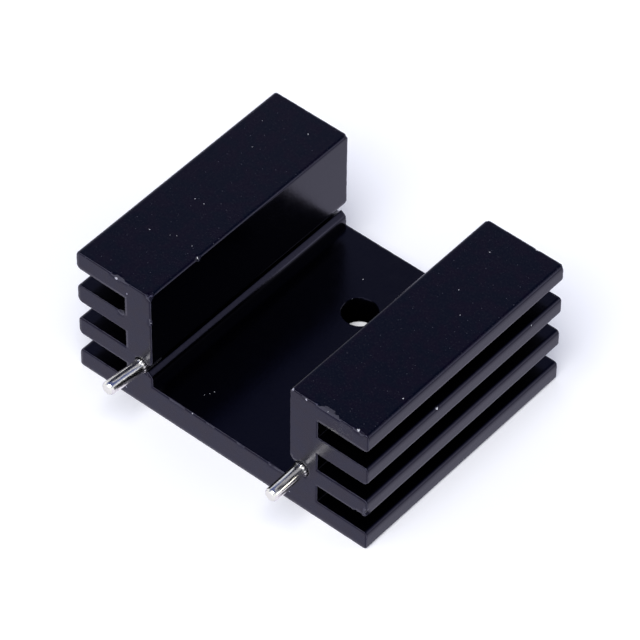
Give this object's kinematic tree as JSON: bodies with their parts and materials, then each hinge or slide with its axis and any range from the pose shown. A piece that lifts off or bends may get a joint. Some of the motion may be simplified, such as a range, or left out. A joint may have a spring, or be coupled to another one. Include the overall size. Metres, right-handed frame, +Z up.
{
  "type": "transistor heat sink",
  "caption": "Black anodised channel heat sink for one tab-mounted transistor, with flat fins along both outer sides and tinned solder pins at one end.",
  "frame": {"origin": "centre of the body's flat underside, which lies on the surface that the part stands on", "axes": "+Z up, out of the open side of the channel; +X across the fins, to the right when looking at the end with the pins; the pins stick out along -Y"},
  "size_m": [0.032, 0.0294, 0.014],
  "materials": {
    "black_anodised": "satin black anodising with a violet-blue cast, paler and finely marked on the sawn ends",
    "tinned_metal": "bright tin plating, lightly scraped at the root"
  },
  "bodies": {
    "root": {"finned_body": "black_anodised", "left_solder_pin": "tinned_metal", "right_solder_pin": "tinned_metal"}
  },
  "joints": []
}
